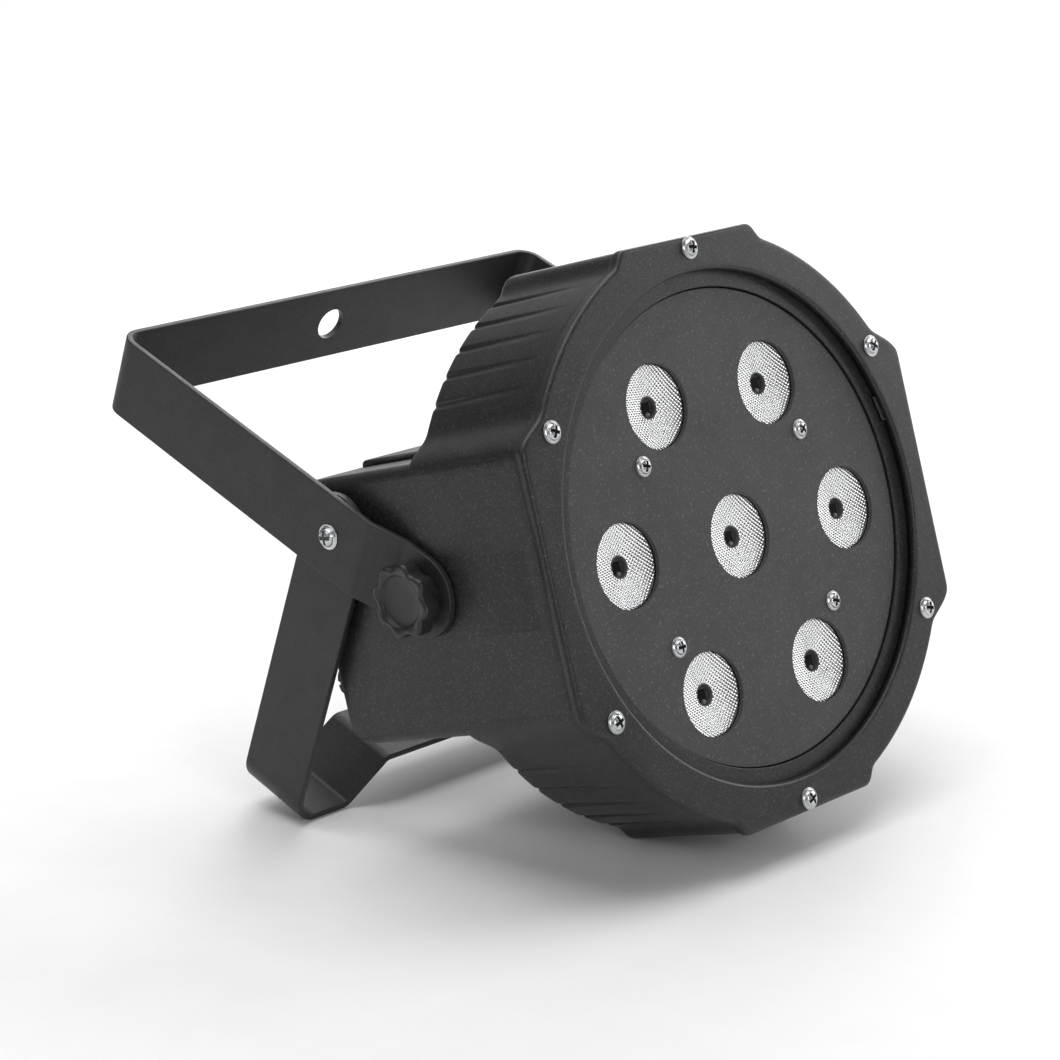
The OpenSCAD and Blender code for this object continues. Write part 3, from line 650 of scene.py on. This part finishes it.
def make_steel():
    steel = MATS["black_steel"]
    half = mirrored([(-85.1, 0), (-85.1, 9.85), (-88.9, 21.85), (-88.9, REACH - 1)])
    path = rounded(half, [5, 5, 6, 6, 5, 5])
    v, f = strip(path, 2, 25)
    yoke = piece("yoke_strip", v, f, YOKE, steel, "yoke", "black_steel", ("main_yoke",))
    drill(yoke, YOKE, (0, REACH, 0), (0, 1, 0), 5.25, 12)
    low = frame_reach()
    half = mirrored([(-FOOT_HALF + 1, 0), (-FOOT_HALF + 1, low - 1), (-65.7, low - 1),
                     (-65.7 + 13.3, low - 14.3)])
    path = rounded(half, [8, 3, 3, 3, 3, 8])
    v, f = strip(path, 2, 25)
    piece("floor_strip", v, f, FOOT, steel, "floor_leg", "black_steel", ("foot_bracket",))


def frame_reach():
    """Reach of the floor bracket from its hinge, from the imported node's own mesh, in millimetres."""
    inv = FOOT.inverted()
    me = NODES["foot_bracket"].data
    return max((inv @ v.co).y for v in me.vertices)


# ---------- knobs ----------


def make_knobs():
    n = 256
    t = np.linspace(0, 2 * math.pi, n, endpoint=False)
    wave = np.cos(8 * (t - math.radians(21)))
    lobe = 10.3 + 0.8 * wave
    # (radius, or None on the lobes; inset from the lobes; depth)
    rows_in = [(3.0, 0, 1.3), (6.6, 0, 1.3), (7.0, 0, 1.6), (7.0, 0, 2.4),
               (None, 1.0, 2.45), (None, 0.35, 2.6), (None, 0.1, 3.1), (None, 0.0, 5.0), (None, 0.05, 6.9),
               (None, 0.2, 7.5), (None, 0.55, 7.85), (None, 1.0, 8.0), (None, 1.45, 7.95),
               (7.85, 0, 7.8), (7.6, 0, 7.5), (7.35, 0, 7.05), (6.6, 0, 6.8), (4.0, 0, 6.7), (1.5, 0, 6.65)]
    for side, name in ((-1, "knob_left"), (1, "knob_right")):
        rows = []
        for r, inset, depth in rows_in:
            rad = lobe - inset if r is None else np.full(n, r)
            x = np.full(n, side * (86.1 + depth))
            rows.append(np.stack([x, rad * np.cos(t), rad * np.sin(t)], 1))
        v, f = grid(rows)
        cap(f, 0, n, True)
        cap(f, (len(rows) - 1) * n, n)
        if side > 0:
            f = [tuple(reversed(q)) for q in f]
        v[:, 1] += PIVOT_MM[1]
        v[:, 2] += PIVOT_MM[2]
        f = [tuple(reversed(q)) for q in f]
        piece(name + "_lobed", v, f, HEAD, MATS["knob_plastic"], "clamp_" + name, "knob_plastic", (name,))


# ---------- lenses ----------


def make_lenses():
    """Beaded reflecting dish whose valleys between the beads are painted shade in a near-black material, and
    a socket and chip in its middle.
    """
    pitch, per_bead = 0.95, 6
    step = pitch / per_bead
    outer, pit = 12.45, 3.2
    rim_y, dish_depth, bead_height, valley_below = 1.75, 2.6, 0.3, 0.19
    count = int(outer / step) + 3
    axis = np.arange(-count, count + 1) * step
    gu, gw = np.meshgrid(axis, axis, indexing="ij")
    bead = np.abs(np.cos(math.pi * gu / pitch) * np.cos(math.pi * gw / pitch)) ** 0.8
    r = np.hypot(gu, gw)
    keep = (r <= outer + 0.6 * step) & (r >= pit - 0.6 * step)
    snapped = np.where(r > outer - 0.45 * step, outer, np.where(r < pit + 0.45 * step, pit, r))
    scale = snapped / np.maximum(r, 1e-9)
    fade = np.clip((outer - r) / 0.5, 0, 1) * np.clip((r - pit) / 0.4, 0, 1)
    y = rim_y + dish_depth * (1 - np.clip(snapped / outer, 0, 1)) ** 1.05 - bead_height * bead * fade
    index = -np.ones(gu.shape, int)
    index[keep] = np.arange(keep.sum())
    corners = np.stack([index[:-1, :-1], index[1:, :-1], index[1:, 1:], index[:-1, 1:]], -1)
    whole = (corners >= 0).all(-1)
    height = bead * fade + (1 - fade)
    mean = (height[:-1, :-1] + height[1:, :-1] + height[1:, 1:] + height[:-1, 1:]) / 4
    # Faces lower than valley_below go to the near-black painted shade material; the rest stay bright.
    faces, valleys = corners[whole & (mean >= valley_below)], corners[whole & (mean < valley_below)]
    for i in range(7):
        cx, cz = lens_spot(i)
        turn = math.pi / 4 + 0.1 * math.sin(2.3 * i)
        u, w = (gu * scale)[keep], (gw * scale)[keep]
        verts = np.stack([u * math.cos(turn) - w * math.sin(turn) + cx, y[keep],
                          u * math.sin(turn) + w * math.cos(turn) + cz], 1)
        piece("lens_front_%d" % (i + 1), verts, faces.tolist(), HEAD, MATS["lens_acrylic"], "head",
              "lens_acrylic",
                   ("lens_%d" % (i + 1),), weighted=False)
        # The valley faces carry painted shade.
        piece("lens_valleys_%d" % (i + 1), verts, valleys.tolist(), HEAD, VALLEY_SHADE, "head", "lens_acrylic",
              weighted=False)
        b = Build()
        v, f = lathe([(12.6, 1.75), (12.6, 6.2), (3.6, 8.0), (3.05, 5.2), (3.05, 3.6), (3.25, 3.35),
                      (3.6, 4.2), (11.9, 2.6), (12.3, 1.95)], 96, caps=False)
        b.add(*grid([v[k * 96:(k + 1) * 96] for k in range(9)], wrap_rows=True), at(cx, 0, cz))
        b.make("lens_socket_%d" % (i + 1), HEAD, PIT, "head", "lens_acrylic")
        b = Build()
        h = 1.6
        ring = [(-h, 4.75, -h), (h, 4.75, -h), (h, 4.75, h), (-h, 4.75, h)]
        base = [(x, 6.2, z) for x, _, z in ring]
        soft = [(x * 0.92, 4.6, z * 0.92) for x, _, z in ring]
        v, f = grid([np.array(base), np.array(ring), np.array(soft)])
        cap(f, 0, 4, True)
        cap(f, 8, 4)
        b.add(v, f, at(cx, 0, cz, Matrix.Rotation(-LENS_TURN, 4, "Y")))
        b.make("lens_chip_%d" % (i + 1), HEAD, CHIP_AND_SHADE_FILL, "head", "led_phosphor", smooth=False, weighted=False)
        b = Build()
        v, f = lathe([(3.1, 6.3), (3.1, 5.9), (3.0, 5.3), (0.4, 5.25)], 48)
        b.add(v, f, at(cx, 0, cz))
        v, f = lathe([(0.9, 5.2), (0.9, 4.55), (0.82, 4.3), (0.6, 4.12), (0.3, 4.03), (0.08, 4.0)], 24)
        b.add(v, f, at(cx, 0, cz - 2.1))
        b.make("lens_well_%d" % (i + 1), HEAD, PIT, "head", "lens_acrylic")


# ---------- CAD nodes that stay ----------


def dress_cad():
    """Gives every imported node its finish, merged facets and softened edges."""
    slots = {s["node"]: s["material_slot"] for s in frame["record"]["subparts"]}
    edge = {"housing": 0.0006, "rear_panel": 0.0003, "lens_plate": 0.0002}
    for name, ob in NODES.items():
        mat = MATS[slots[name]]
        ob.data.materials.clear()
        ob.data.materials.append(mat)
        for p in ob.data.polygons:
            p.use_smooth = True
        weld = ob.modifiers.new("weld", "WELD")
        weld.merge_threshold = 1e-6
        flat = ob.modifiers.new("flat", "DECIMATE")
        flat.decimate_type = "DISSOLVE"
        flat.angle_limit = math.radians(0.5)
        bevel = ob.modifiers.new("bevel", "BEVEL")
        bevel.width = edge.get(name, 0.00015)
        bevel.segments = 2
        bevel.limit_method = "ANGLE"
        bevel.angle_limit = math.radians(35)
        bevel.harden_normals = True


# ---------- room, light and camera ----------


def make_room():
    me = bpy.data.meshes.new("floor")
    half, back, top, bend = 3.0, 2.2, 3.0, 0.8
    profile = [(-half, 0.0), (back - bend, 0.0)]
    sweep = np.radians(range(10, 91, 10))
    profile += [(back - bend + bend * math.sin(a), bend * (1 - math.cos(a))) for a in sweep]
    profile.append((back, top))
    turn = Matrix.Rotation(math.radians(-46.5), 4, "Z")
    verts = [tuple(turn @ Vector((x, y, z))) for y, z in profile for x in (-half, half)]
    me.from_pydata(verts, [], [(2 * k, 2 * k + 1, 2 * k + 3, 2 * k + 2) for k in range(len(profile) - 1)])
    for p in me.polygons:
        p.use_smooth = True
    floor = bpy.data.objects.new("floor", me)
    bpy.context.scene.collection.objects.link(floor)
    me.materials.append(material("pale_floor", (0.86, 0.86, 0.86), 0.9, grain=300, depth=0.00002, mottle=0.01,
                                 spec=0.1))

    def lamp(name, place, aim, size, power):
        data = bpy.data.lights.new(name, "AREA")
        data.shape, data.size, data.size_y, data.energy = "RECTANGLE", size[0], size[1], power
        ob = bpy.data.objects.new(name, data)
        ob.location = place
        ob.rotation_euler = (Vector(aim) - Vector(place)).to_track_quat("-Z", "Y").to_euler()
        bpy.context.scene.collection.objects.link(ob)

    lamp("left", (-1.6, 0.3, 1.2), (0, 0, 0.09), (0.8, 0.8), 4)
    lamp("top", (0.0, 0.2, 1.9), (0, 0, 0.0), (2.0, 2.0), 33)
    lamp("rim", (1.3, 0.9, 0.9), (0, 0, 0.1), (0.9, 1.2), 15)
    lamp("side", (1.65, -0.62, 0.7), (0, 0, 0.09), (1.0, 1.1), 14)
    lamp("front", (-0.7, -1.7, 0.8), (0, 0, 0.09), (0.7, 0.7), 8.5)
    world = bpy.data.worlds.new("studio")
    world.use_nodes = True
    world.node_tree.nodes["Background"].inputs["Color"].default_value = (1, 1, 1, 1)
    world.node_tree.nodes["Background"].inputs["Strength"].default_value = 0.115
    bpy.context.scene.world = world
    bpy.context.scene.view_settings.view_transform = "Standard"


def make_camera():
    """The photograph's viewing angle: azimuth, elevation, roll and a long lens."""
    data = bpy.data.cameras.new("camera")
    data.sensor_width, data.lens = 36.0, 109.83
    cam = bpy.data.objects.new("camera", data)
    eye = HEAD @ Vector((-696.0, -628.1, 81.3))
    azimuth, elevation, roll = (math.radians(a) for a in (-46.49, 16.21, 0.28))
    back = Vector((math.sin(azimuth) * math.cos(elevation), -math.cos(azimuth) * math.cos(elevation),
                   math.sin(elevation)))
    look = (-back).to_track_quat("-Z", "Y").to_matrix().to_4x4()
    cam.matrix_world = Matrix.Translation(eye) @ look @ Matrix.Rotation(-roll, 4, "Z")
    bpy.context.scene.collection.objects.link(cam)
    bpy.context.scene.camera = cam


dress_cad()
make_camera()
make_room()
make_housing()
make_plate()
make_bezel()
make_screws()
make_steel()
make_knobs()
make_lenses()

bpy.context.view_layer.update()
